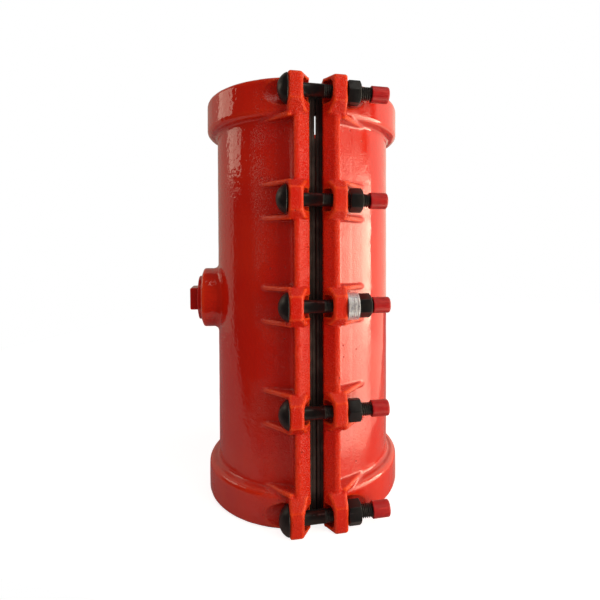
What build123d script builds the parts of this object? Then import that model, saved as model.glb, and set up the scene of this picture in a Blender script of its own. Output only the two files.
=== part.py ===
from build123d import *
import os

os.makedirs("parts", exist_ok=True)

# A two-half bolted clamp that closes round a leaking pipe. Sizes are millimetres.
# The origin is on the pipe's axis at mid length. +Z runs up the pipe, +X crosses
# the joint towards the nuts, and the front row of bolts is at negative Y.

# The pipe and the iron body
pipe_radius = 80
clamp_length = 400
body_inner_radius = 84
body_outer_radius = 91
rim_outer_radius = 101
rim_height = 32.5
rim_end_round = 4
rim_shoulder_round = 5
rim_foot_round = 3
end_lip_radius = 82
end_lip_thickness = 6

# The joint between the halves: flanges, lugs and ribs
half_gap = 6.3
flange_foot_v = 99
flange_front_v = 105
flange_front_inner = 15.8
flange_front_outer = 20.2
flange_fillet = 6
flange_edge_round = 1.5
flange_heel_v = 90.7
flange_toe_x = 34
flange_toe_v = 84.7
bolt_v = 103
end_bolt_height = 187
bolt_heights = (end_bolt_height, 92.5, -1, -94.5, -end_bolt_height)
lug_front_v = 112.3
lug_inner = 13.9
lug_outer = 25.7
lug_flat_half_height = 10
lug_shoulder_v = 105
lug_shoulder_half_height = 16.5
lug_root_half_height = 18.4
end_lug_shoulder = 19.3
end_lug_root = 22.8
end_lug_setback = 0.4
lug_edge_round = 2
lug_pocket_half_height = 9.8
lug_pocket_half_width = 7.5
lug_pocket_depth_x = 14
lug_pocket_round = 5
rib_clear_half_gap = 13.15
rib_thickness = 4.3
rib_front_v = 104.5
rib_foot_x = 49
end_rib_height = 164
rib_edge_round = 1.6

# Rubber seals
seal_groove_radius = 90
seal_groove_height = 22
seal_slit_half = 0.4
seal_mouth_half = 0.95
seal_mouth_low = 150
seal_mouth_start = 128
strip_inner_v = 86.5
strip_front_v = 93.5
strip_corner = 0.7
strip_groove_x = 3.6
strip_groove_half = 0.5
key_depth = 3.5
key_low_v = 87.8
key_high_v = 92.2

# M12 bolts, nuts, washers and thread caps
thread_radius = 6
fit_clearance = 0.05
neck_length = 10.5
neck_width = 12.8
neck_height = 15.5
neck_hole_play = 0.4
bolt_hole_radius = 6.9
head_radius = 13
head_height = 8.9
head_edge = 1.1
bolt_end_x = 62.6
bolt_end_chamfer = 1
socket_room_radius = 13.5
socket_room_end_x = 60
nut_across_flats = 19
nut_height = 11.6
nut_face_radius = 9.2
nut_chamfer = 0.9
nut_bevel_slope = 0.58
washer_count = 6
washer_radius = 12
washer_hole_radius = 6.5
washer_thickness = 1.7
washer_edge = 0.25
washer_sag = 0.4
cap_radius = 7.35
cap_length = 16
cap_end_wall = 1.8
cap_edge_round = 1.2
cap_mouth_round = 0.3

# How far each bolt, nut and cap stands off its seat, where it isn't the usual
bolt_back_off = {"front_2": 1.5}
usual_nut_back_off = 0.8
nut_back_off = {"front_2": 2.6, "front_3": 0}
cap_back_off = {"front_3": 1, "front_5": 0.9}
packed_bolt = "front_3"

# How far each nut is turned, front row from the top and then rear row
nut_turns_deg = (33, 8, 56, 20, 42, 12, 27, 51, 3, 38)

# Vent boss on the left half, and its square-headed plug
boss_radius = 30.7
boss_height = -0.8
boss_face_x = 107.8
boss_bevel_radial = 6.5
boss_bevel_axial = 2.4
boss_edge_round = 1.5
boss_lip_round = 1
boss_root_x = 60
boss_block = (80, 110, 110)
boss_block_x = -90
boss_hole_end_x = -74
boss_foot_round = 5
plug_radius = 22.9
plug_proud = 3
plug_depth = 21
plug_core_radius = 17
plug_core_depth = 15
plug_square = 22.8
plug_square_height = 8.6
plug_square_round = 1.5
plug_square_edge = 1
plug_edge = 0.8
plug_turn_deg = 3

half_length = clamp_length / 2
rim_foot_z = half_length - rim_height
groove_outer_z = half_length - end_lip_thickness
groove_inner_z = groove_outer_z - seal_groove_height
end_lug_outer_height = half_length - end_bolt_height - end_lug_setback
root_v = body_inner_radius - 2
huge = 3 * rim_outer_radius


def bolt_places():
    """Gives each bolt's name, its side (-1 front, 1 rear) and its height."""
    for side_name, side in (("front", -1), ("rear", 1)):
        for number, height in enumerate(bolt_heights, start=1):
            yield f"{side_name}_{number}", side, height


def along_x(shape, side, z):
    """Puts a shape built round the X axis on a bolt's own axis."""
    return Pos(0, side * bolt_v, z) * shape


def ring(inner, outer, low, high):
    """A plain ring round the pipe's axis."""
    middle = (low + high) / 2
    tube = Cylinder(outer, high - low) - Cylinder(inner, high - low)
    return Pos(0, 0, middle) * tube


def x_cylinder(radius, start, end):
    """A cylinder along X from one place to another."""
    return Pos((start + end) / 2, 0, 0) * Rot(0, 90, 0) * Cylinder(radius, end - start)


def x_turned(points, radii):
    """Turns a closed outline of (x, radius) points round the X axis."""
    outline = FilletPolyline(*points, radius=radii, close=True)
    return revolve(make_face(outline), Axis.X)


def joint_side(shape):
    """Keeps what is on the right of the right half's joint face."""
    return shape & Pos(half_gap + huge / 2, 0, 0) * Box(huge, huge, 2 * clamp_length)


def body_outside():
    """The barrel and its two end rims, solid, with cast roundings."""
    half_outline = [
        (0, -half_length, 0),
        (rim_outer_radius, -half_length, rim_end_round),
        (rim_outer_radius, -rim_foot_z, rim_shoulder_round),
        (body_outer_radius, -rim_foot_z, rim_foot_round),
    ]
    outline = half_outline + [(r, -z, f) for r, z, f in reversed(half_outline)]
    points = [(r, 0, z) for r, z, f in outline]
    edge = FilletPolyline(*points, radius=[f for r, z, f in outline], close=True)
    return revolve(make_face(edge), Axis.Z)


def body_inside():
    """What is bored out: the pipe's way, the water room and the seal grooves."""
    way = Cylinder(end_lip_radius, clamp_length + 2)
    room = Cylinder(body_inner_radius, 2 * groove_inner_z)
    groove = ring(end_lip_radius - 1, seal_groove_radius, groove_inner_z, groove_outer_z)
    return way + room + groove + mirror(groove, about=Plane.XY)


def flange_bar():
    """The front flange of the right half, tapered towards the joint."""
    corners = [
        (half_gap, root_v, 0),
        (half_gap, flange_foot_v, flange_edge_round),
        (flange_front_inner, flange_front_v, flange_edge_round),
        (flange_front_outer, flange_front_v, flange_edge_round),
        (flange_front_outer, flange_heel_v, flange_fillet),
        (flange_toe_x, flange_toe_v, 0),
        (flange_toe_x, root_v, 0),
    ]
    points = [(x, -v) for x, v, f in corners]
    outline = FilletPolyline(*points, radius=[f for x, v, f in corners], close=True)
    height = 2 * (half_length - rim_end_round / 2)
    return Pos(0, 0, -height / 2) * extrude(make_face(outline), height, dir=(0, 0, 1))


def lug_block(above, below):
    """One lug round a bolt. Each side of it is a list of (v, height) points."""
    plan = Polyline(
        (half_gap, -root_v),
        (half_gap, -flange_foot_v),
        (lug_inner, -lug_front_v),
        (lug_outer, -lug_front_v),
        (lug_outer, -root_v),
        close=True,
    )
    side = Polyline(
        *[(0, -v, height) for v, height in above],
        *[(0, -v, -height) for v, height in reversed(below)],
        close=True,
    )
    reach = end_lug_root + 1
    block = Pos(0, 0, -reach) * extrude(make_face(plan), 2 * reach, dir=(0, 0, 1))
    block &= extrude(make_face(side), lug_outer + 1, dir=(1, 0, 0))
    back = -root_v - 0.1
    edges = block.edges().filter_by(lambda edge: edge.center().Y < back)
    return fillet(edges, lug_edge_round)


def middle_lug():
    """A lug with both its sides sloping back to the flange."""
    slope = [
        (lug_front_v, lug_flat_half_height),
        (lug_shoulder_v, lug_shoulder_half_height),
        (root_v, lug_root_half_height),
    ]
    return lug_block(slope, slope)


def end_lug():
    """The top lug, cut off almost flush with the end of the clamp."""
    above = [(lug_front_v, end_lug_outer_height), (root_v, end_lug_outer_height)]
    below = [
        (lug_front_v, lug_flat_half_height),
        (lug_shoulder_v, end_lug_shoulder),
        (root_v, end_lug_root),
    ]
    return lug_block(above, below)


def lug_pocket():
    """The bell mouth round the bolt on the joint side of a lug."""
    width = 2 * lug_pocket_half_width
    height = 2 * lug_pocket_half_height
    length = lug_pocket_depth_x
    face = RectangleRounded(height, width, lug_pocket_round)
    pocket = Rot(0, 90, 0) * extrude(face, length)
    return Pos(0, -bolt_v + 1, 0) * pocket


def rib():
    """A web from a lug's outer face down to the barrel, flat across the pipe."""
    start_x = lug_outer - lug_edge_round - 1
    foot_v = (body_outer_radius**2 - rib_foot_x**2) ** 0.5
    inside = body_inner_radius / body_outer_radius
    corners = [
        (start_x, rib_front_v),
        (lug_outer, rib_front_v),
        (rib_foot_x, foot_v),
        (rib_foot_x * inside, foot_v * inside),
        (start_x, body_inner_radius - 6),
    ]
    outline = Polyline(*[(x, -v) for x, v in corners], close=True)
    plate = extrude(make_face(outline), rib_thickness, dir=(0, 0, 1))

    def on_slope(edge):
        middle = edge.center()
        flat = abs(edge.tangent_at(0.5).Z) < 0.1
        return flat and middle.Y < -foot_v and middle.X > lug_outer

    return fillet(plate.edges().filter_by(on_slope), rib_edge_round)


def front_joint():
    """Flange, lugs and ribs of the right half's front row, in one lump."""
    lump = flange_bar()
    web = rib()
    inner_lug = middle_lug()
    top_lug = end_lug()
    end_web = Pos(0, 0, end_rib_height) * web
    for height in bolt_heights:
        if abs(height) < end_bolt_height:
            lump += Pos(0, 0, height) * inner_lug
            lump += Pos(0, 0, height - rib_clear_half_gap - rib_thickness) * web
            lump += Pos(0, 0, height + rib_clear_half_gap) * web
    top = Pos(0, 0, end_bolt_height) * top_lug + end_web
    return lump + top + mirror(top, about=Plane.XY)


def half_iron():
    """The right half casting before its bolt holes are cut."""
    front = front_joint()
    iron = joint_side(body_outside())
    iron += front
    iron += mirror(front, about=Plane.XZ)
    iron -= body_inside()
    room = x_cylinder(socket_room_radius, lug_outer, socket_room_end_x)
    pocket = lug_pocket()
    key_width = key_high_v - key_low_v
    key_length = 2 * groove_outer_z
    for side in (-1, 1):
        way_in = pocket if side < 0 else mirror(pocket, about=Plane.XZ)
        for height in bolt_heights:
            iron -= Pos(0, 0, height) * way_in
            if abs(height) == end_bolt_height:
                iron -= along_x(room, side, height)
        key_y = side * (key_low_v + key_high_v) / 2
        iron -= Pos(half_gap, key_y, 0) * Box(2 * key_depth, key_width, key_length)
    return iron


def boss():
    """The round vent boss, standing out of the left side of the barrel."""
    points = [
        (-boss_root_x, 0),
        (-boss_root_x, boss_radius),
        (-boss_face_x + boss_bevel_axial, boss_radius),
        (-boss_face_x, boss_radius - boss_bevel_radial),
        (-boss_face_x, 0),
    ]
    return Pos(0, 0, boss_height) * x_turned(points, [0, 0, boss_edge_round, boss_lip_round, 0])


def boss_foot(body):
    """Adds the boss to a barrel and rounds the corner between them."""
    joined = body + boss()

    def on_seam(edge):
        middle = edge.center()
        box = edge.bounding_box()
        wide = box.size.Y > boss_radius
        return wide and -body_outer_radius - 1 < middle.X < -body_outer_radius + 12

    return fillet(joined.edges().filter_by(on_seam), boss_foot_round)


def half_shell_right():
    """The half that the nuts bear on, with plain round bolt holes."""
    iron = half_iron()
    hole = x_cylinder(bolt_hole_radius, half_gap, lug_outer + 1)
    for name, side, z in bolt_places():
        iron -= along_x(hole, side, z)
    return iron


def half_shell_left():
    """The half that the bolt heads bear on, with oval holes and the vent boss."""
    iron = mirror(half_iron(), about=Plane.YZ)
    boss_lump = boss_foot(body_outside())
    side_box = Pos(boss_block_x, 0, 0) * Box(*boss_block)
    iron += boss_lump & side_box
    iron -= body_inside()
    plug_hole = x_cylinder(plug_radius + fit_clearance, -boss_face_x - 1, boss_hole_end_x)
    iron -= Pos(0, 0, boss_height) * plug_hole
    hole = neck_shape(neck_hole_play, lug_outer + 1 - half_gap)
    for name, side, z in bolt_places():
        iron -= along_x(Pos(-lug_outer - 1, 0, 0) * hole, side, z)
    return iron


def neck_shape(play, length):
    """The oval neck of a bolt, or with play its hole, starting at X = 0."""
    oval = SlotOverall(neck_height + 2 * play, neck_width + 2 * play)
    return Rot(0, 90, 0) * extrude(oval, length)


def bolt():
    """Round-headed bolt with an oval neck that keeps it from turning."""
    base_x = -lug_outer
    edge_x = base_x - head_edge
    tip_x = base_x - head_height
    dome_height = edge_x - tip_x
    ball_radius = (head_radius**2 + dome_height**2) / (2 * dome_height)
    ball = Pos(tip_x + ball_radius, 0, 0) * Sphere(ball_radius)
    head = x_cylinder(head_radius, edge_x, base_x) + (x_cylinder(head_radius, tip_x, edge_x) & ball)
    points = [
        (base_x, 0),
        (base_x, thread_radius),
        (bolt_end_x - bolt_end_chamfer, thread_radius),
        (bolt_end_x, thread_radius - bolt_end_chamfer),
        (bolt_end_x, 0),
    ]
    shank = x_turned(points, [0] * len(points))
    neck = Pos(base_x, 0, 0) * neck_shape(0, neck_length)
    return head + shank + neck


def nut():
    """Hexagon nut standing on the X axis from X = 0, bevelled at both ends."""
    corner_radius = nut_across_flats / 3**0.5
    hexagon = RegularPolygon(nut_across_flats / 2, 6, major_radius=False)
    prism = Rot(0, 90, 0) * extrude(hexagon, nut_height)
    reach = corner_radius + 0.5
    bevel = (reach - nut_face_radius) * nut_bevel_slope
    points = [
        (0, 0),
        (0, nut_face_radius),
        (bevel, reach),
        (nut_height - bevel, reach),
        (nut_height, nut_face_radius),
        (nut_height, 0),
    ]
    body = prism & x_turned(points, [0] * len(points))
    hole_radius = thread_radius + fit_clearance
    hole_points = [
        (-1, 0),
        (-1, hole_radius + nut_chamfer + 1),
        (nut_chamfer, hole_radius),
        (nut_height - nut_chamfer, hole_radius),
        (nut_height + 1, hole_radius + nut_chamfer + 1),
        (nut_height + 1, 0),
    ]
    return body - x_turned(hole_points, [0] * len(hole_points))


def washer(number):
    """One plain washer of the packing stack, hanging a little off centre."""
    start = lug_outer + number * washer_thickness
    end = start + washer_thickness
    disc = x_cylinder(washer_radius, start, end)
    disc = chamfer(disc.edges().filter_by(GeomType.CIRCLE), washer_edge)
    disc -= x_cylinder(washer_hole_radius, start - 1, end + 1)
    sideways = washer_sag * ((number * 2) % 5 - 2) / 5
    return Pos(0, sideways, -washer_sag) * disc


def cap():
    """Soft sleeve, closed at one end, pushed over the bolt's thread."""
    start = bolt_end_x + cap_end_wall - cap_length
    end = bolt_end_x + cap_end_wall
    inner = thread_radius + fit_clearance
    points = [
        (start, inner),
        (start, cap_radius),
        (end, cap_radius),
        (end, 0),
        (bolt_end_x, 0),
        (bolt_end_x, inner),
    ]
    return x_turned(points, [0, cap_mouth_round, cap_edge_round, 0, 0, 0])


def half_seal():
    """The right half's rubber: two end half rings and two joint strips in one."""
    end_ring = ring(pipe_radius, seal_groove_radius, groove_inner_z, groove_outer_z)
    rings = end_ring + mirror(end_ring, about=Plane.XY)
    keep = Pos(seal_slit_half + huge / 2, 0, 0) * Box(huge, huge, clamp_length)
    rubber = rings & keep
    slit_x = seal_slit_half
    groove_v = strip_front_v - strip_groove_half
    section = Polyline(
        (slit_x, -strip_inner_v),
        (slit_x, -strip_front_v + strip_corner),
        (slit_x + strip_corner, -strip_front_v),
        (strip_groove_x - strip_groove_half, -strip_front_v),
        (strip_groove_x, -groove_v),
        (strip_groove_x + strip_groove_half, -strip_front_v),
        (half_gap, -strip_front_v),
        (half_gap, -key_high_v),
        (half_gap + key_depth, -key_high_v),
        (half_gap + key_depth, -key_low_v),
        (half_gap, -key_low_v),
        (half_gap, -strip_inner_v),
        close=True,
    )
    length = 2 * groove_outer_z
    strip = Pos(0, 0, -length / 2) * extrude(make_face(section), length, dir=(0, 0, 1))
    rubber += strip + mirror(strip, about=Plane.XZ)
    return rubber - seal_mouth()


def seal_mouth():
    """The strips part a little near the top, below the end ring."""
    outline = Polyline(
        (0, 0, seal_mouth_start),
        (seal_slit_half, 0, seal_mouth_start),
        (seal_mouth_half, 0, seal_mouth_low),
        (seal_mouth_half, 0, groove_inner_z),
        (0, 0, groove_inner_z),
        close=True,
    )
    return Pos(0, huge / 2, 0) * extrude(make_face(outline), huge, dir=(0, -1, 0))


def vent_plug():
    """Square-headed screw plug, cored from inside."""
    shoulder = -boss_face_x - plug_proud
    inner_end = shoulder + plug_depth
    body = x_cylinder(plug_radius, shoulder, inner_end)
    body = chamfer(body.edges().filter_by(GeomType.CIRCLE), plug_edge)
    square = Box(plug_square_height + 2, plug_square, plug_square)
    square = fillet(square.edges().filter_by(Axis.X), plug_square_round)
    square = chamfer(square.faces().sort_by(Axis.X)[0].edges(), plug_square_edge)
    square_x = shoulder - plug_square_height / 2 + 1
    square = Rot(plug_turn_deg, 0, 0) * Pos(square_x, 0, 0) * square
    core = x_cylinder(plug_core_radius, inner_end - plug_core_depth, inner_end + 1)
    return Pos(0, 0, boss_height) * (body + square - core)


def save(name, shape):
    """Writes one node."""
    shape.label = name
    export_step(shape, f"parts/{name}.step")


def main():
    save("half_shell_right", half_shell_right())
    save("half_shell_left", half_shell_left())
    seal = half_seal()
    save("gasket_right", seal)
    save("gasket_left", mirror(seal, about=Plane.YZ))
    save("vent_plug", vent_plug())

    one_bolt = bolt()
    one_nut = nut()
    one_cap = cap()
    for (name, side, height), turn_deg in zip(bolt_places(), nut_turns_deg):
        back = -bolt_back_off.get(name, 0)
        nut_x = lug_outer + nut_back_off.get(name, usual_nut_back_off)
        if name == packed_bolt:
            nut_x += washer_count * washer_thickness
            for number in range(washer_count):
                save(f"washer_{number + 1}", along_x(washer(number), side, height))
        cap_x = back + cap_back_off.get(name, 0)
        save(f"bolt_{name}", along_x(Pos(back, 0, 0) * one_bolt, side, height))
        turned_nut = Pos(nut_x, 0, 0) * Rot(turn_deg, 0, 0) * one_nut
        save(f"nut_{name}", along_x(turned_nut, side, height))
        save(f"cap_{name}", along_x(Pos(cap_x, 0, 0) * one_cap, side, height))


main()
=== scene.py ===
import math

import bmesh
import bpy
import numpy as np
from mathutils import Matrix, Vector


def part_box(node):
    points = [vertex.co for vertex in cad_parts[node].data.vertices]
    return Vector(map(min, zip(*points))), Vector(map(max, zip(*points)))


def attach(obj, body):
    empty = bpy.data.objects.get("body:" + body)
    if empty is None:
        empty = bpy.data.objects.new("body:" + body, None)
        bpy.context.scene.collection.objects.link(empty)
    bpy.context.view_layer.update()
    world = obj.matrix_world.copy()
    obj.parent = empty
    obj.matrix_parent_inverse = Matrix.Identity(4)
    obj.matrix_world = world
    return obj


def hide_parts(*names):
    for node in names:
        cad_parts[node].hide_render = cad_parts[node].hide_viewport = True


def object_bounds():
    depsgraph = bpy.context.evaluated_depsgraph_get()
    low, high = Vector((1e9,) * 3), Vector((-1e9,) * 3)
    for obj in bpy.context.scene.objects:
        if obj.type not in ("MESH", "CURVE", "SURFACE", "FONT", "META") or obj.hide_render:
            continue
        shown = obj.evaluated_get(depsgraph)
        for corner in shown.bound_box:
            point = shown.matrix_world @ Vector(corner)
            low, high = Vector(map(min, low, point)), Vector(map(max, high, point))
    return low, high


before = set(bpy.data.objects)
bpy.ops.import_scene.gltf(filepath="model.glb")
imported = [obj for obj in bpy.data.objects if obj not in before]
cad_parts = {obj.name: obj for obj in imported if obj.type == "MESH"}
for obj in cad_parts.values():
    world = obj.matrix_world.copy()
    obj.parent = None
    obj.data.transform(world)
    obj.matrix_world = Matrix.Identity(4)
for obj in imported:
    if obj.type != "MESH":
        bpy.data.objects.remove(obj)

cad_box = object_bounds()


# The two half shells. Each is one sand casting in ductile iron, coated all over with thick glossy
# red epoxy that rounds every edge. The half with the round boss takes the bolt heads, and the
# other one takes the nuts.
MM = 0.001
SHELL_VOXEL = 1.1 * MM
SHELL_SMOOTHING = 2
SHELL_TRIANGLES = 185000
SHELL_SWELLS = ((17 * MM, 0.12 * MM), (6.5 * MM, 0.04 * MM))
SHELL_PAINT = 0.2 * MM
SHELL_PEEL = {"left": 0.28, "right": 0.08}
SHELL_GRAIN = {"left": 0.95, "right": 0.36}
JOINT_ZONE = (62 * MM, 40 * MM)
FLANGE_OUTSIDE = 31 * MM
FLANGE_ROOT = 97 * MM
FLANGE_ROUGHNESS = 0.13
FLANGE_SHINE = 0.17
EPOXY_RED = (0.56, 0.014, 0.0045, 1)
EPOXY_ORANGE = (0.82, 0.085, 0.012, 1)
EPOXY_SHADE_RED = (0.30, 0.006, 0.003, 1)
EPOXY_ROUGHNESS = 0.05
EPOXY_SHINE = 0.5
EPOXY_IOR = 1.78


def node(tree, kind, inputs=(), **settings):
    """Adds a shader node. Each input is (socket, a value or the output that feeds it)."""
    made = tree.nodes.new(kind)
    for option, value in settings.items():
        setattr(made, option, value)
    for socket, value in inputs:
        if isinstance(value, bpy.types.NodeSocket):
            tree.links.new(value, made.inputs[socket])
        else:
            made.inputs[socket].default_value = value
    return made


def maths(tree, operation, first, second=0.0):
    """One arithmetic step between two numbers."""
    return node(tree, "ShaderNodeMath", [(0, first), (1, second)], operation=operation).outputs[0]


def fade(tree, value, start, end, low=0.0, high=1.0):
    """Turns a value smoothly from low at start to high at end."""
    steps = [("Value", value), ("From Min", start), ("From Max", end)]
    steps += [("To Min", low), ("To Max", high)]
    return node(tree, "ShaderNodeMapRange", steps, interpolation_type="SMOOTHSTEP").outputs[0]


def tint(tree, factor, plain, other):
    """Mixes two colours."""
    sockets = [(0, factor), (6, plain), (7, other)]
    return node(tree, "ShaderNodeMix", sockets, data_type="RGBA").outputs[2]


def noise(tree, place, size_mm, detail=1.0, roughness=0.5):
    """Soft noise whose features are about size_mm across."""
    per_metre = maths(tree, "DIVIDE", 1000.0, size_mm)
    settings = [("Vector", place), ("Scale", per_metre), ("Detail", detail), ("Roughness", roughness)]
    return node(tree, "ShaderNodeTexNoise", settings).outputs["Fac"]


def surface_place(tree):
    """The place on the piece itself, in metres."""
    return node(tree, "ShaderNodeTexCoord").outputs["Object"]


def effect(name, inputs, outputs):
    """Starts a node group. Gives its tree, its named inputs and a call that fills an output."""
    tree = bpy.data.node_groups.new(name, "ShaderNodeTree")
    for label, value in inputs:
        kind = "NodeSocketFloat" if isinstance(value, (int, float)) else "NodeSocketColor"
        socket = tree.interface.new_socket(label, in_out="INPUT", socket_type=kind)
        socket.default_value = value
    for label, kind in outputs:
        tree.interface.new_socket(label, in_out="OUTPUT", socket_type=kind)
    given = tree.nodes.new("NodeGroupInput").outputs
    result = tree.nodes.new("NodeGroupOutput").inputs
    return tree, given, lambda label, value: tree.links.new(value, result[label])


def make_cast_grain():
    """Cast grain under paint: slow swells, orange peel, rough patches and pinholes. Heights in mm."""
    tree, given, give = effect(
        "cast_grain",
        [("Peel Size", 3.2), ("Peel", 0.1), ("Grain Size", 1.2), ("Grain", 0.1),
         ("Rough Everywhere", 0.2), ("Pinholes", 0.2)],
        [("Height", "NodeSocketFloat"), ("Rough", "NodeSocketFloat"), ("Pits", "NodeSocketFloat"),
         ("Dull", "NodeSocketFloat")],
    )
    place = surface_place(tree)
    peel = maths(tree, "MULTIPLY", noise(tree, place, given["Peel Size"], 1.5, 0.4), given["Peel"])

    patches = fade(tree, noise(tree, place, 42.0, 2.0, 0.6), 0.46, 0.62)
    across = node(tree, "ShaderNodeSeparateXYZ", [(0, place)]).outputs[0]
    near_joint = fade(tree, maths(tree, "ABSOLUTE", across), *JOINT_ZONE)
    rough = maths(tree, "MULTIPLY", patches, maths(tree, "ADD", near_joint, given["Rough Everywhere"]))
    rough = maths(tree, "ADD", rough, maths(tree, "MULTIPLY", near_joint, 0.70))
    rough = maths(tree, "MINIMUM", rough, 1.0)
    grain = noise(tree, place, given["Grain Size"], 3.0, 0.6)
    grain = maths(tree, "MULTIPLY", maths(tree, "MULTIPLY", grain, given["Grain"]), rough)

    spread = [("Vector", place), ("Scale", 150.0), ("Randomness", 1.0)]
    cells = node(tree, "ShaderNodeTexVoronoi", spread)
    chance = node(tree, "ShaderNodeSeparateColor", [(0, cells.outputs["Color"])]).outputs[0]
    chosen = fade(tree, chance, 0.80, 0.84)
    pits = maths(tree, "MULTIPLY", fade(tree, cells.outputs["Distance"], 0.16, 0.06), chosen)
    pits = maths(tree, "MULTIPLY", pits, maths(tree, "ADD", rough, 0.25))
    depth = maths(tree, "MULTIPLY", pits, given["Pinholes"])

    height = maths(tree, "SUBTRACT", maths(tree, "ADD", peel, grain), depth)
    give("Height", height)
    give("Rough", rough)
    give("Pits", pits)
    granules = fade(tree, noise(tree, place, 1.7, 2.0, 0.65), 0.50, 0.60)
    give("Dull", maths(tree, "MULTIPLY", granules, rough))
    return tree


def make_paint_tone():
    """Colour of thick paint: thinner with a painted highlight on edges, painted shade in corners and
    pinholes, chipped in places.
    """
    tree, given, give = effect(
        "paint_tone",
        [("Paint", EPOXY_RED), ("Thin Paint And Glint", EPOXY_ORANGE), ("Painted Shade", EPOXY_SHADE_RED), ("Rough", 0.0),
         ("Pits", 0.0), ("Dull", 0.0), ("Gloss Roughness", EPOXY_ROUGHNESS), ("Chips", 0.5),
         ("Dust", 0.1)],
        [("Color", "NodeSocketColor"), ("Roughness", "NodeSocketFloat")],
    )
    place = surface_place(tree)
    shape = node(tree, "ShaderNodeNewGeometry")
    edges = fade(tree, shape.outputs["Pointiness"], 0.502, 0.55)
    painted_shade_corners = fade(tree, shape.outputs["Pointiness"], 0.492, 0.44)
    blotch = fade(tree, noise(tree, place, 48.0, 2.0, 0.5), 0.35, 0.7)
    colour = tint(tree, maths(tree, "MULTIPLY", blotch, 0.12), given["Paint"], given["Thin Paint And Glint"])
    # Painted highlight: edges take the lighter orange, partly for the thinner paint there and partly
    # for the glint of light on rounded edges.
    colour = tint(tree, maths(tree, "MULTIPLY", edges, 0.85), colour, given["Thin Paint And Glint"])
    # Painted shade: concave corners darken towards the deep red.
    colour = tint(tree, maths(tree, "MULTIPLY", painted_shade_corners, 0.7), colour, given["Painted Shade"])
    # Painted shade: the pinholes darken towards the deep red.
    colour = tint(tree, maths(tree, "MULTIPLY", given["Pits"], 0.8), colour, given["Painted Shade"])

    flakes = fade(tree, noise(tree, place, 4.0, 3.0, 0.7), 0.66, 0.70)
    chips = maths(tree, "MULTIPLY", maths(tree, "MULTIPLY", flakes, edges), given["Chips"])
    colour = tint(tree, chips, colour, (0.018, 0.014, 0.013, 1))

    up = node(tree, "ShaderNodeSeparateXYZ", [(0, shape.outputs["Normal"])]).outputs[2]
    settled = maths(tree, "MULTIPLY", fade(tree, up, 0.45, 0.95), noise(tree, place, 9.0, 3.0, 0.6))
    settled = maths(tree, "MULTIPLY", settled, given["Dust"])
    colour = tint(tree, settled, colour, (0.42, 0.33, 0.28, 1))

    worn = maths(tree, "MULTIPLY", noise(tree, place, 14.0, 3.0, 0.6), 0.05)
    roughness = maths(tree, "ADD", given["Gloss Roughness"], worn)
    roughness = maths(tree, "ADD", roughness, maths(tree, "MULTIPLY", given["Rough"], 0.05))
    roughness = maths(tree, "ADD", roughness, maths(tree, "MULTIPLY", given["Dull"], 0.12))
    roughness = maths(tree, "ADD", roughness, maths(tree, "MULTIPLY", chips, 0.5))
    roughness = maths(tree, "ADD", roughness, maths(tree, "MULTIPLY", settled, 0.5))
    give("Color", colour)
    give("Roughness", roughness)
    return tree


def plain_material(name):
    """A material with its shader alone. Gives the material, its tree and the shader."""
    material = bpy.data.materials.new(name)
    material.use_nodes = True
    tree = material.node_tree
    return material, tree, tree.nodes["Principled BSDF"]


def bump(tree, height, shader):
    """Feeds a height in millimetres to the shader's normal."""
    sockets = [("Height", height), ("Distance", MM), ("Strength", 1.0)]
    made = node(tree, "ShaderNodeBump", sockets)
    tree.links.new(made.outputs["Normal"], shader.inputs["Normal"])


cast_grain = make_cast_grain()
paint_tone = make_paint_tone()


def epoxy_coat(name, paint, thin, shade_red, grain, roughness=EPOXY_ROUGHNESS, shine=EPOXY_SHINE):
    """Glossy epoxy over cast iron. grain holds the values of the cast_grain effect."""
    material, tree, shader = plain_material(name)
    rough = node(tree, "ShaderNodeGroup", grain, node_tree=cast_grain)
    values = [("Paint", paint), ("Thin Paint And Glint", thin), ("Painted Shade", shade_red), ("Rough", rough.outputs["Rough"]),
              ("Pits", rough.outputs["Pits"]), ("Dull", rough.outputs["Dull"]),
              ("Gloss Roughness", roughness)]
    tone = node(tree, "ShaderNodeGroup", values, node_tree=paint_tone)
    tree.links.new(tone.outputs["Color"], shader.inputs["Base Color"])
    tree.links.new(tone.outputs["Roughness"], shader.inputs["Roughness"])
    shader.inputs["IOR"].default_value = EPOXY_IOR
    shader.inputs["Specular IOR Level"].default_value = shine
    bump(tree, rough.outputs["Height"], shader)
    return material


def swell(points, wave):
    """Slow waves from -1 to 1 over the points, as a hand-made mould leaves them."""
    turns = 2 * math.pi / wave
    x, y, z = points.T
    slow = np.sin(turns * x * 0.7 + 1.3 * np.sin(turns * z * 0.43))
    slow = slow + np.sin(turns * y * 0.8 + 1.1 * np.sin(turns * x * 0.51 + 2.0))
    return (slow + np.sin(turns * z * 0.62 + 1.7 * np.sin(turns * y * 0.37 + 0.7))) / 3


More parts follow.
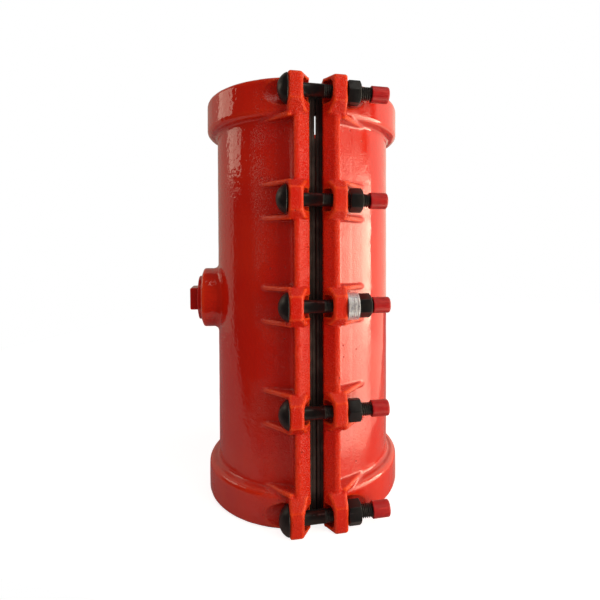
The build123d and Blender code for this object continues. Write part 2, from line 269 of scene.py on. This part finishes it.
def cast_copy(name, source, voxel, smoothing, triangles, swells, paint):
    """A copy of a CAD node with the rounded edges and slightly uneven faces of a casting."""
    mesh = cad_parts[source].data.copy()
    mesh.name = name
    piece = bpy.data.objects.new(name, mesh)
    bpy.context.scene.collection.objects.link(piece)
    remesh = piece.modifiers.new("one skin", "REMESH")
    remesh.mode = "VOXEL"
    remesh.voxel_size = voxel
    soften = piece.modifiers.new("thick paint", "SMOOTH")
    soften.factor = 0.5
    soften.iterations = smoothing
    bake_modifiers(piece)

    mesh = piece.data
    count = len(mesh.vertices)
    points = np.empty(count * 3, np.float32)
    normals = np.empty(count * 3, np.float32)
    mesh.vertices.foreach_get("co", points)
    mesh.vertices.foreach_get("normal", normals)
    points = points.reshape(-1, 3)
    lift = sum(swell(points, wave) * height for wave, height in swells) + paint
    moved = points + normals.reshape(-1, 3) * lift[:, None]
    mesh.vertices.foreach_set("co", moved.astype(np.float32).ravel())
    mesh.update()

    mesh.calc_loop_triangles()
    if len(mesh.loop_triangles) > triangles:
        thin = piece.modifiers.new("fewer faces", "DECIMATE")
        thin.ratio = triangles / len(mesh.loop_triangles)
        bake_modifiers(piece)
    piece.data.shade_smooth()
    return piece


def bake_modifiers(piece):
    """Replaces a piece's mesh by what its modifiers make of it."""
    bpy.context.view_layer.update()
    shown = piece.evaluated_get(bpy.context.evaluated_depsgraph_get())
    made = bpy.data.meshes.new_from_object(shown)
    made.name = piece.name
    piece.modifiers.clear()
    piece.data = made


def dress(piece, material, body, slot, *nodes):
    """Gives a piece its material and its body, and hides the CAD nodes that it stands for. The slot is
    not used.
    """
    piece.data.materials.clear()
    piece.data.materials.append(material)
    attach(piece, body)
    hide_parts(*nodes)


def paint_flanges(piece, coat):
    """Gives the joint flanges and lugs of a half their own coat."""
    mesh = piece.data
    middles = np.empty(len(mesh.polygons) * 3, np.float32)
    mesh.polygons.foreach_get("center", middles)
    across, out, _ = np.abs(middles.reshape(-1, 3)).T
    on_flange = (across < FLANGE_OUTSIDE) & (out > FLANGE_ROOT)
    mesh.materials.append(coat)
    mesh.polygons.foreach_set("material_index", on_flange.astype(np.int32))


flange_coat = epoxy_coat(
    "thinner_red_epoxy_on_flanges", EPOXY_RED, EPOXY_ORANGE, EPOXY_SHADE_RED,
    [("Peel Size", 3.8), ("Peel", 0.2), ("Grain Size", 1.2), ("Grain", 0.9),
     ("Rough Everywhere", 0.12), ("Pinholes", 0.45)],
    FLANGE_ROUGHNESS, FLANGE_SHINE,
)
for side in ("left", "right"):
    shell_node = f"half_shell_{side}"
    shell_coat = epoxy_coat(
        f"red_epoxy_on_{side}_half", EPOXY_RED, EPOXY_ORANGE, EPOXY_SHADE_RED,
        [("Peel Size", 3.8), ("Peel", SHELL_PEEL[side]), ("Grain Size", 1.5),
         ("Grain", SHELL_GRAIN[side]), ("Rough Everywhere", 0.12), ("Pinholes", 0.45)],
    )
    shell = cast_copy(f"{side}_half_casting", shell_node, SHELL_VOXEL, SHELL_SMOOTHING,
                      SHELL_TRIANGLES, SHELL_SWELLS, SHELL_PAINT)
    dress(shell, shell_coat, f"{side}_half", "red_epoxy_iron", shell_node)
    paint_flanges(shell, flange_coat)


# The two rubber seals. Each is moulded in one: two end half rings that grip the pipe, joined by
# a strip along each side of the joint. The strips show between the flanges.
RUBBER_BLACK = (0.014, 0.013, 0.012, 1)
RUBBER_BLOOM = (0.060, 0.055, 0.050, 1)


def moulded_rubber():
    """Black rubber with fine drawn lines along its length and a little bloom."""
    material, tree, shader = plain_material("black_moulded_rubber")
    place = surface_place(tree)
    stretched = node(tree, "ShaderNodeVectorMath", [(0, place), (1, (1.0, 1.0, 0.03))],
                     operation="MULTIPLY").outputs[0]
    lines = noise(tree, stretched, 1.1, 3.0, 0.6)
    bloom = fade(tree, noise(tree, place, 16.0, 4.0, 0.65), 0.42, 0.75)
    tone = tint(tree, maths(tree, "MULTIPLY", bloom, maths(tree, "ADD", lines, 0.2)),
                RUBBER_BLACK, RUBBER_BLOOM)
    tree.links.new(tone, shader.inputs["Base Color"])
    tree.links.new(fade(tree, lines, 0.3, 0.7, 0.42, 0.62), shader.inputs["Roughness"])
    waves = maths(tree, "MULTIPLY", noise(tree, place, 9.0, 2.0, 0.5), 0.35)
    height = maths(tree, "ADD", maths(tree, "MULTIPLY", lines, 0.16), waves)
    bump(tree, height, shader)
    return material


def finish_node(name, material):
    """Gives a CAD node that stays in view its material."""
    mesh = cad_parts[name].data
    for index in range(len(mesh.materials)):
        mesh.materials[index] = material


rubber = moulded_rubber()
for side in ("left", "right"):
    finish_node(f"gasket_{side}", rubber)


# The ten bolts: M12 round-headed track bolts in black oxide steel. An oval neck under the head
# sits in the left lug's oval hole, and the rolled thread runs from mid shank to the end.
BOLT_ROWS = [(row, number) for row in ("front", "rear") for number in range(1, 6)]
BOLT_HEAD_RADIUS = 13 * MM
BOLT_HEAD_HEIGHT = 8.9 * MM
BOLT_HEAD_EDGE = 1.1 * MM
BOLT_SHANK_RADIUS = 5.9 * MM
BOLT_NECK = (15.4 * MM, 12.7 * MM, 10.5 * MM)
THREAD_LENGTH = 57 * MM
THREAD_PITCH = 1.75 * MM
THREAD_CREST = 5.97 * MM
THREAD_ROOT = 4.98 * MM
THREAD_END_RADIUS = 4.7 * MM
THREAD_SECTION = ((0.0, 0), (0.31, 1), (0.44, 1), (0.75, 0))
BOLT_SIDES = 40


def new_piece(name, points, faces):
    """A smooth-shaded piece from points and faces, its doubled points joined."""
    mesh = bpy.data.meshes.new(name)
    mesh.from_pydata(points, [], faces)
    work = bmesh.new()
    work.from_mesh(mesh)
    bmesh.ops.remove_doubles(work, verts=work.verts, dist=0.002 * MM)
    bmesh.ops.dissolve_degenerate(work, edges=work.edges, dist=0.001 * MM)
    bmesh.ops.recalc_face_normals(work, faces=work.faces)
    work.to_mesh(mesh)
    work.free()
    mesh.shade_smooth()
    piece = bpy.data.objects.new(name, mesh)
    bpy.context.scene.collection.objects.link(piece)
    return piece


def ring_points(x, radius, sides, axis):
    """One ring of points round a bolt's axis, or the single point on it."""
    y, z = axis
    if radius == 0:
        return [(x, y, z)]
    turns = [2 * math.pi * k / sides for k in range(sides)]
    return [(x, y + radius * math.cos(t), z + radius * math.sin(t)) for t in turns]


def turned_shape(outline, sides, axis):
    """Points and faces of an outline of (x, radius) pairs turned round a bolt's axis."""
    points, faces, before = [], [], None
    for x, radius in outline:
        ring = ring_points(x, radius, sides, axis)
        here = list(range(len(points), len(points) + len(ring)))
        points += ring
        if before is not None:
            for k in range(sides):
                a, b = before[k % len(before)], before[(k + 1) % len(before)]
                c, d = here[(k + 1) % len(here)], here[k % len(here)]
                face = [v for i, v in enumerate((a, b, c, d)) if v not in (a, b, c, d)[:i]]
                if len(face) > 2:
                    faces.append(face)
        before = here
    return points, faces


def joined(*shapes):
    """Puts several (points, faces) shapes into one."""
    points, faces = [], []
    for more_points, more_faces in shapes:
        shift = len(points)
        points += more_points
        faces += [[v + shift for v in face] for face in more_faces]
    return points, faces


def thread_shape(start, end, shank, axis):
    """A right-hand thread from start to end, closed by a run-out and a bevelled point."""
    turns = int((end - start) / THREAD_PITCH) + 2
    points, faces = [], []
    y, z = axis
    steps = len(THREAD_SECTION)
    for k in range(turns * BOLT_SIDES + 1):
        angle = 2 * math.pi * k / BOLT_SIDES
        for share, crest in THREAD_SECTION:
            x = start + THREAD_PITCH * (k / BOLT_SIDES + share - 1)
            x = min(max(x, start), end)
            radius = THREAD_CREST if crest else THREAD_ROOT
            radius = max(radius, shank - (x - start) * 0.4)
            radius = min(radius, THREAD_END_RADIUS + (end - x) * 1.1)
            points.append((x, y + radius * math.cos(angle), z + radius * math.sin(angle)))
    for k in range(turns * BOLT_SIDES):
        for step in range(steps):
            a = k * steps + step
            b = a + steps
            if step < steps - 1:
                faces.append([a, b, b + 1, a + 1])
            elif k + BOLT_SIDES + 1 <= turns * BOLT_SIDES:
                c = (k + BOLT_SIDES) * steps
                faces.append([a, b, c + steps, c])
    return points, faces


def neck_shape(start, axis):
    """The oval neck under a bolt head, rounded at its free end."""
    height, width, length = BOLT_NECK
    straight = (height - width) / 2
    y, z = axis
    layers = ((0, 1.0), (length - 0.8 * MM, 1.0), (length - 0.2 * MM, 0.97), (length, 0.9),
              (length, 0))
    points, faces = [], []
    sides = BOLT_SIDES
    for depth, share in layers:
        for k in range(sides):
            angle = 2 * math.pi * k / sides
            lift = straight if math.sin(angle) > 0 else -straight
            points.append((start + depth, y + share * width / 2 * math.cos(angle),
                           z + share * (width / 2 * math.sin(angle) + lift)))
    for layer in range(len(layers) - 1):
        for k in range(sides):
            a, b = layer * sides + k, layer * sides + (k + 1) % sides
            faces.append([a, b, b + sides, a + sides])
    faces.append(list(range(sides)))
    return points, faces


def bolt_outline(base, thread_start):
    """Half outline of the domed head and the plain part of the shank."""
    dome = BOLT_HEAD_HEIGHT - BOLT_HEAD_EDGE
    ball = (BOLT_HEAD_RADIUS**2 + dome**2) / (2 * dome)
    rim = math.asin(BOLT_HEAD_RADIUS / ball)
    tip = base - BOLT_HEAD_HEIGHT
    arc = [rim * step / 12 for step in range(12)]
    outline = [(tip + ball * (1 - math.cos(t)), ball * math.sin(t)) for t in arc]
    edge = BOLT_HEAD_RADIUS
    outline += [(base - BOLT_HEAD_EDGE - 0.15 * MM, edge - 0.25 * MM)]
    outline += [(base - BOLT_HEAD_EDGE + 0.2 * MM, edge)]
    outline += [(base - 0.3 * MM, edge), (base, edge - 0.3 * MM), (base, BOLT_SHANK_RADIUS)]
    return outline + [(thread_start, BOLT_SHANK_RADIUS)]


def make_steel_wear():
    """Blackened steel: mottled oxide, bare bright metal on sharp edges, oily patches."""
    tree, given, give = effect(
        "black_oxide_wear",
        [("Oxide", (0.012, 0.013, 0.015, 1)), ("Brown", (0.022, 0.018, 0.016, 1)),
         ("Bare", (0.24, 0.24, 0.25, 1)), ("Edge Wear", 0.5), ("Grain", 0.03)],
        [("Color", "NodeSocketColor"), ("Roughness", "NodeSocketFloat"),
         ("Height", "NodeSocketFloat")],
    )
    place = surface_place(tree)
    sharp = fade(tree, node(tree, "ShaderNodeNewGeometry").outputs["Pointiness"], 0.54, 0.66)
    rubbed = maths(tree, "MULTIPLY", sharp, fade(tree, noise(tree, place, 3.0, 3.0, 0.6), 0.38, 0.60))
    rubbed = maths(tree, "MULTIPLY", rubbed, given["Edge Wear"])
    mottle = fade(tree, noise(tree, place, 6.0, 3.0, 0.6), 0.45, 0.72)
    colour = tint(tree, maths(tree, "MULTIPLY", mottle, 0.6), given["Oxide"], given["Brown"])
    give("Color", tint(tree, rubbed, colour, given["Bare"]))
    oily = fade(tree, noise(tree, place, 11.0, 2.0, 0.5), 0.40, 0.62, 0.30, 0.46)
    give("Roughness", oily)
    give("Height", maths(tree, "MULTIPLY", noise(tree, place, 0.7, 2.0, 0.5), given["Grain"]))
    return tree


black_oxide_wear = make_steel_wear()


def black_steel(name, oxide, metallic, edge_wear, grain):
    """Black oxide on steel."""
    material, tree, shader = plain_material(name)
    values = [("Oxide", oxide), ("Edge Wear", edge_wear), ("Grain", grain)]
    wear = node(tree, "ShaderNodeGroup", values, node_tree=black_oxide_wear)
    tree.links.new(wear.outputs["Color"], shader.inputs["Base Color"])
    tree.links.new(wear.outputs["Roughness"], shader.inputs["Roughness"])
    shader.inputs["Metallic"].default_value = metallic
    bump(tree, wear.outputs["Height"], shader)
    return material


bolt_steel = black_steel("black_oxide_bolt", (0.009, 0.010, 0.011, 1), 0.15, 0.35, 0.05)
for row, number in BOLT_ROWS:
    bolt_node = f"bolt_{row}_{number}"
    low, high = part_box(bolt_node)
    axis = ((low.y + high.y) / 2, (low.z + high.z) / 2)
    base = low.x + BOLT_HEAD_HEIGHT
    thread_start = high.x - THREAD_LENGTH
    shape = joined(
        turned_shape(bolt_outline(base, thread_start), BOLT_SIDES, axis),
        thread_shape(thread_start, high.x, BOLT_SHANK_RADIUS, axis),
        turned_shape([(high.x, THREAD_END_RADIUS), (high.x, 0)], BOLT_SIDES, axis),
        neck_shape(base, axis),
    )
    bolt = new_piece(f"track_bolt_{row}_{number}", *shape)
    dress(bolt, bolt_steel, "left_half", "black_oxide_steel", bolt_node)


# The washers: six plain M12 washers in bright zinc plate, packed behind one nut of the front row.
# They hang a little off centre on the bolt, so their rims don't line up.
def zinc_plate():
    """Zinc plate on stamped steel, with turned marks and a faint blue cast."""
    material, tree, shader = plain_material("bright_zinc_plate")
    place = surface_place(tree)
    mottle = noise(tree, place, 2.2, 3.0, 0.6)
    tone = tint(tree, fade(tree, mottle, 0.35, 0.65), (0.53, 0.63, 0.73, 1), (0.72, 0.80, 0.85, 1))
    stains = fade(tree, noise(tree, place, 3.5, 3.0, 0.7), 0.64, 0.76)
    tone = tint(tree, maths(tree, "MULTIPLY", stains, 0.5), tone, (0.20, 0.19, 0.18, 1))
    tree.links.new(tone, shader.inputs["Base Color"])
    tree.links.new(fade(tree, mottle, 0.3, 0.7, 0.26, 0.48), shader.inputs["Roughness"])
    shader.inputs["Metallic"].default_value = 0.55
    bump(tree, maths(tree, "MULTIPLY", noise(tree, place, 0.8, 3.0, 0.6), 0.06), shader)
    return material


zinc = zinc_plate()
for number in range(1, 7):
    finish_node(f"washer_{number}", zinc)


# The ten nuts: M12 hexagon nuts in black oxide steel, 19 mm across flats, bevelled at both faces.
# Each stands where its thread left it, turned by its own angle.
NUT_FLATS = 19 * MM
NUT_FACE_RADIUS = 9.2 * MM
NUT_BEVEL_SLOPE = 0.58
NUT_HOLE_RADIUS = 6.05 * MM
NUT_HOLE_BEVEL = 0.9 * MM
NUT_EDGE_ROUND = 0.35 * MM
NUT_SIDES = 144


def hexagon_radius(angle, across_flats, edge_round):
    """How far out a hexagon's side is at an angle from one of its corners, corners rounded."""
    from_flat = (angle % (math.pi / 3)) - math.pi / 6
    sharp = across_flats / 2 / math.cos(from_flat)
    return min(sharp, across_flats / math.sqrt(3) - edge_round * 0.3)


def nut_shape(start, end, axis, corner_angle):
    """The nut as rings from its hole outwards and back, following the hexagon."""
    y, z = axis
    middle = (start + end) / 2
    points, faces = [], []
    for k in range(NUT_SIDES):
        angle = 2 * math.pi * k / NUT_SIDES
        out = hexagon_radius(angle - corner_angle, NUT_FLATS, NUT_EDGE_ROUND)
        drop = max(out - NUT_FACE_RADIUS, 0) * NUT_BEVEL_SLOPE
        face_edge = min(NUT_FACE_RADIUS, out - 0.05 * MM)
        soft = NUT_EDGE_ROUND * 0.5
        half = [
            (end - NUT_HOLE_BEVEL - soft, NUT_HOLE_RADIUS),
            (end - NUT_HOLE_BEVEL, NUT_HOLE_RADIUS),
            (end - NUT_HOLE_BEVEL + soft, NUT_HOLE_RADIUS + soft),
            (end - soft, NUT_HOLE_RADIUS + NUT_HOLE_BEVEL - soft),
            (end, NUT_HOLE_RADIUS + NUT_HOLE_BEVEL),
            (end, NUT_HOLE_RADIUS + NUT_HOLE_BEVEL + soft),
            (end, face_edge - soft),
            (end, face_edge),
            (end - min(drop, soft) * NUT_BEVEL_SLOPE, min(face_edge + soft, out)),
            (end - drop + soft * 0.4, out - soft * 0.6),
            (end - drop - soft * 0.5, out),
            (end - drop - soft * 1.5, out),
        ]
        section = half + [(2 * middle - x, r) for x, r in reversed(half[:-1])]
        for x, r in section:
            points.append((x, y + r * math.cos(angle), z + r * math.sin(angle)))
    count = len(points) // NUT_SIDES
    for k in range(NUT_SIDES):
        following = (k + 1) % NUT_SIDES
        for step in range(count):
            after = (step + 1) % count
            faces.append([k * count + step, k * count + after,
                          following * count + after, following * count + step])
    return points, faces


def corner_angle_of(source, axis):
    """The angle of one corner of a CAD nut round its axis."""
    y, z = axis
    spots = [(v.co.y - y, v.co.z - z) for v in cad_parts[source].data.vertices]
    far_y, far_z = max(spots, key=lambda spot: math.hypot(*spot))
    return math.atan2(far_z, far_y)


nut_steel = black_steel("black_oxide_nut", (0.014, 0.017, 0.019, 1), 0.35, 0.75, 0.03)
for row, number in BOLT_ROWS:
    nut_node = f"nut_{row}_{number}"
    low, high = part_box(nut_node)
    bolt_low, bolt_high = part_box(f"bolt_{row}_{number}")
    axis = ((bolt_low.y + bolt_high.y) / 2, (bolt_low.z + bolt_high.z) / 2)
    shape = nut_shape(low.x, high.x, axis, corner_angle_of(nut_node, axis))
    nut = new_piece(f"hexagon_nut_{row}_{number}", *shape)
    dress(nut, nut_steel, nut_node, "black_oxide_steel", nut_node)


# The ten thread caps: soft red plastic sleeves, dip-moulded with one closed end, pushed over the
# bolt ends to keep the threads clean.
CAP_WALL_END = 1.8 * MM
CAP_MOUTH_ROUND = 0.4 * MM
CAP_END_ROUND = 1.6 * MM
CAP_SIDES = 56


def cap_outline(start, end, radius):
    """Half outline of a cap from inside its end, out of its mouth and back over its end."""
    inner = THREAD_CREST + 0.04 * MM
    outline = [(end - CAP_WALL_END, 0), (end - CAP_WALL_END, inner), (start + 0.2 * MM, inner)]
    outline += [(start, inner + 0.25 * MM), (start, radius - CAP_MOUTH_ROUND)]
    outline += [(start + CAP_MOUTH_ROUND * 0.4, radius - 0.1 * MM), (start + CAP_MOUTH_ROUND, radius)]
    outline += [(start + 1.6 * MM, radius - 0.06 * MM), (end - 5 * MM, radius - 0.12 * MM)]
    for step in range(7):
        angle = math.pi / 2 * step / 6
        outline.append((end - CAP_END_ROUND * (1 - math.sin(angle)),
                        radius - 0.12 * MM - CAP_END_ROUND * (1 - math.cos(angle))))
    return outline + [(end - 0.25 * MM, radius * 0.35), (end - 0.3 * MM, 0)]


def cap_plastic():
    """Dull red vinyl with faint marks along its length."""
    material, tree, shader = plain_material("red_vinyl_cap")
    place = surface_place(tree)
    stretched = node(tree, "ShaderNodeVectorMath", [(0, place), (1, (0.12, 1.0, 1.0))],
                     operation="MULTIPLY").outputs[0]
    streaks = noise(tree, stretched, 1.6, 2.0, 0.6)
    cloud = fade(tree, noise(tree, place, 5.0, 3.0, 0.6), 0.35, 0.7)
    tone = tint(tree, cloud, (0.31, 0.005, 0.008, 1), (0.40, 0.009, 0.010, 1))
    tone = tint(tree, fade(tree, streaks, 0.55, 0.80), tone, (0.48, 0.030, 0.026, 1))
    tree.links.new(tone, shader.inputs["Base Color"])
    tree.links.new(fade(tree, streaks, 0.3, 0.7, 0.30, 0.45), shader.inputs["Roughness"])
    shader.inputs["Subsurface Weight"].default_value = 0.08
    shader.inputs["Subsurface Radius"].default_value = (0.002, 0.0004, 0.0004)
    bump(tree, maths(tree, "MULTIPLY", streaks, 0.10), shader)
    return material


vinyl = cap_plastic()
for row, number in BOLT_ROWS:
    cap_node = f"cap_{row}_{number}"
    low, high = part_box(cap_node)
    axis = ((low.y + high.y) / 2, (low.z + high.z) / 2)
    outline = cap_outline(low.x, high.x, (high.z - low.z) / 2)
    cap = new_piece(f"thread_cap_{row}_{number}", *turned_shape(outline, CAP_SIDES, axis))
    dress(cap, vinyl, cap_node, "red_plastic", cap_node)


# The vent plug: a square-headed cast plug, screwed into the boss on the left half and coated
# with the same epoxy, a little darker.
PLUG_VOXEL = 0.55 * MM
PLUG_TRIANGLES = 60000
plug_coat = epoxy_coat(
    "dark_red_epoxy_on_plug", (0.42, 0.009, 0.006, 1), (0.66, 0.022, 0.010, 1), EPOXY_SHADE_RED,
    [("Peel Size", 2.6), ("Peel", 0.10), ("Grain Size", 1.1), ("Grain", 0.12),
     ("Rough Everywhere", 0.5), ("Pinholes", 0.15)],
)
plug = cast_copy("square_headed_plug", "vent_plug", PLUG_VOXEL, 3, PLUG_TRIANGLES,
                 ((9 * MM, 0.06 * MM),), 0)
dress(plug, plug_coat, "vent_plug", "red_epoxy_plug", "vent_plug")


# The studio: a white table under the clamp, white walls behind it, darkness in front, soft
# windows to the right, whose panes are only mirrored, and a tall one behind to the left. None
# of it is part of the object.
FLOOR_CORNERS = ((-0.9, 0.19), (0.9, -0.63), (1.6, 1.2), (-0.2, 2.0))
FLOOR_WHITE = 0.50
FLOOR_GLOW = 0.86
# The strength, the fade behind the clamp and the edges of a painted pool of light on the table, which
# only reflections see.
FLOOR_LIGHT_POOL = 3.2
LIGHT_POOL_BEHIND = 0.3
WINDOW_SIDE = (0.755, -0.656, 0)
LIGHT_POOL_EDGE = (0.19, 0.22)
LIGHT_POOL_BACK = (-0.055, -0.085)
WALL_LIGHT = 0.50
WALL_TINT = (1.0, 0.52, 0.50, 1)
WALL_MIRRORED = (1.0, 0.86, 0.70, 1)
WALL_WHITE = 0.36
WALL_RIGHT = 1.0
FRONT_DARK = 0.03
SUN_WARM = (1.0, 0.87, 0.66)
PANE_DISTANCE = 0.95
PANE_MIDDLE = 0.04
PANE_HEIGHT = 0.46
WINDOW_PANES = ((math.radians(-42), 0.13, 0.9), (math.radians(-31), 0.165, 1.2),
                (math.radians(-19), 0.195, 1.9))
TABLE_TOP = cad_box[0].z - 0.0003

floor_mesh = bpy.data.meshes.new("table_top")
floor_mesh.from_pydata([(x, y, TABLE_TOP) for x, y in FLOOR_CORNERS], [], [(0, 1, 2, 3)])
floor = bpy.data.objects.new("table_top", floor_mesh)
bpy.context.scene.collection.objects.link(floor)

floor_white, floor_tree, floor_shader = plain_material("white_table")
floor_shader.inputs["Base Color"].default_value = (FLOOR_WHITE, FLOOR_WHITE, FLOOR_WHITE, 1)
floor_shader.inputs["Roughness"].default_value = 0.9
floor_shader.inputs["Specular IOR Level"].default_value = 0.1
floor_path = node(floor_tree, "ShaderNodeLightPath")
glow = maths(floor_tree, "MULTIPLY", floor_path.outputs["Is Camera Ray"], FLOOR_GLOW)
# Painted pool of light: in reflections only, the table glows warm on its side toward the windows and
# fades behind the clamp.
floor_place = node(floor_tree, "ShaderNodeTexCoord").outputs["Object"]
toward_lamp = node(floor_tree, "ShaderNodeVectorMath", [(0, floor_place), (1, WINDOW_SIDE)],
                   operation="DOT_PRODUCT").outputs["Value"]
painted_light_pool = fade(floor_tree, toward_lamp, *LIGHT_POOL_EDGE, 0.0, FLOOR_LIGHT_POOL)
floor_depth = node(floor_tree, "ShaderNodeSeparateXYZ", [(0, floor_place)]).outputs[1]
in_front = fade(floor_tree, floor_depth, *LIGHT_POOL_BACK, LIGHT_POOL_BEHIND)
painted_light_pool = maths(floor_tree, "MULTIPLY", painted_light_pool, in_front)
painted_light_pool = maths(floor_tree, "MULTIPLY", painted_light_pool, floor_path.outputs["Is Glossy Ray"])
floor_colour = tint(floor_tree, floor_path.outputs["Is Glossy Ray"], (1, 1, 1, 1), (*SUN_WARM, 1))
floor_tree.links.new(floor_colour, floor_shader.inputs["Emission Color"])
floor_tree.links.new(maths(floor_tree, "ADD", glow, painted_light_pool), floor_shader.inputs["Emission Strength"])
floor_mesh.materials.append(floor_white)

world = bpy.data.worlds.new("studio_walls")
bpy.context.scene.world = world
world.use_nodes = True
walls = world.node_tree
sky = walls.nodes["Background"]
wall_place = node(walls, "ShaderNodeTexCoord").outputs["Generated"]
toward = node(walls, "ShaderNodeSeparateXYZ", [(0, wall_place)])
behind = fade(walls, toward.outputs[1], 0.30, 0.45, FRONT_DARK, WALL_WHITE)
right_wall = fade(walls, toward.outputs[1], -0.10, 0.05, 0.0, WALL_RIGHT)
right_wall = maths(walls, "MULTIPLY", right_wall, fade(walls, toward.outputs[0], 0.2, 0.5))
behind = maths(walls, "MAXIMUM", behind, right_wall)
path = node(walls, "ShaderNodeLightPath").outputs
level = node(walls, "ShaderNodeMix",
             [(0, path["Is Glossy Ray"]), (2, WALL_LIGHT), (3, behind)]).outputs[0]
clear = maths(walls, "MAXIMUM", path["Is Camera Ray"], path["Is Transmission Ray"])
level = node(walls, "ShaderNodeMix", [(0, clear), (2, level), (3, 1.0)]).outputs[0]
walls.links.new(level, sky.inputs["Strength"])
wall_colour = tint(walls, path["Is Glossy Ray"], (1, 1, 1, 1), WALL_MIRRORED)
wall_colour = tint(walls, path["Is Diffuse Ray"], wall_colour, WALL_TINT)
walls.links.new(wall_colour, sky.inputs["Color"])


def soft_lamp(name, place, aim, width, height, power, colour, lights=True, mirrored=True):
    """A rectangular soft lamp that faces a point, and that may only light or only be mirrored."""
    light = bpy.data.lights.new(name, "AREA")
    light.shape = "RECTANGLE"
    light.size = width
    light.size_y = height
    light.energy = power
    light.color = colour
    lamp = bpy.data.objects.new(name, light)
    bpy.context.scene.collection.objects.link(lamp)
    lamp.location = place
    lamp.rotation_euler = (Vector(aim) - Vector(place)).to_track_quat("-Z", "Y").to_euler()
    lamp.visible_camera = False
    lamp.visible_diffuse = lights
    lamp.visible_glossy = mirrored


soft_lamp("big_window_right", (0.677, -0.71, 0.04), (0.03, -0.085, 0.04), 0.52, 0.46, 7.2,
          SUN_WARM, mirrored=False)
for number, (turn, width, power) in enumerate(WINDOW_PANES, start=1):
    place = (PANE_DISTANCE * math.cos(turn), PANE_DISTANCE * math.sin(turn), PANE_MIDDLE)
    soft_lamp(f"window_pane_{number}", place, (0.04, -0.08, PANE_MIDDLE), width, PANE_HEIGHT, power,
              SUN_WARM, lights=False)
soft_lamp("side_window_right", (0.950, -0.107, 0.04), (0.05, -0.075, 0.04), 0.19, 0.46, 2.2,
          (1.0, 0.88, 0.66))
soft_lamp("upper_window_right", (0.70, -0.64, 0.65), (0.03, -0.08, 0.65), 0.70, 0.30, 2.2,
          SUN_WARM)
soft_lamp("tall_window_left", (-0.976, 0.239, 0.53), (-0.072, -0.055, 0.53), 0.43, 0.46, 0.85,
          (1.0, 0.84, 0.66))
soft_lamp("top_lamp", (0.10, -0.50, 1.0), (0, 0, 0), 0.5, 0.3, 1.2, (1.0, 0.92, 0.82))


# The camera stands close in front of the clamp, a little to its left and just above its middle,
# and looks almost level, as in the photograph.
CAMERA_PLACE = (-0.0549, -0.4689, 0.0461)
CAMERA_HEADING = math.radians(11.3218)
CAMERA_DOWN = math.radians(1.0536)
CAMERA_ROLL = math.radians(-0.1217)
CAMERA_LENS = 25.356
CAMERA_SHIFT = (-0.0633, -0.0657)

camera = bpy.data.objects.new("camera", bpy.data.cameras.new("camera"))
bpy.context.scene.collection.objects.link(camera)
forward = Vector((math.sin(CAMERA_HEADING) * math.cos(CAMERA_DOWN),
                  math.cos(CAMERA_HEADING) * math.cos(CAMERA_DOWN), -math.sin(CAMERA_DOWN)))
level_right = Vector((math.cos(CAMERA_HEADING), -math.sin(CAMERA_HEADING), 0))
level_up = level_right.cross(forward)
right = level_right * math.cos(CAMERA_ROLL) + level_up * math.sin(CAMERA_ROLL)
up = level_up * math.cos(CAMERA_ROLL) - level_right * math.sin(CAMERA_ROLL)
turned = Matrix((right, up, -forward)).transposed().to_4x4()
camera.matrix_world = Matrix.Translation(CAMERA_PLACE) @ turned
camera.data.sensor_width = 36
camera.data.lens = CAMERA_LENS
camera.data.shift_x, camera.data.shift_y = CAMERA_SHIFT
camera.data.clip_start = 0.01
bpy.context.scene.camera = camera
bpy.context.scene.view_settings.view_transform = "Standard"
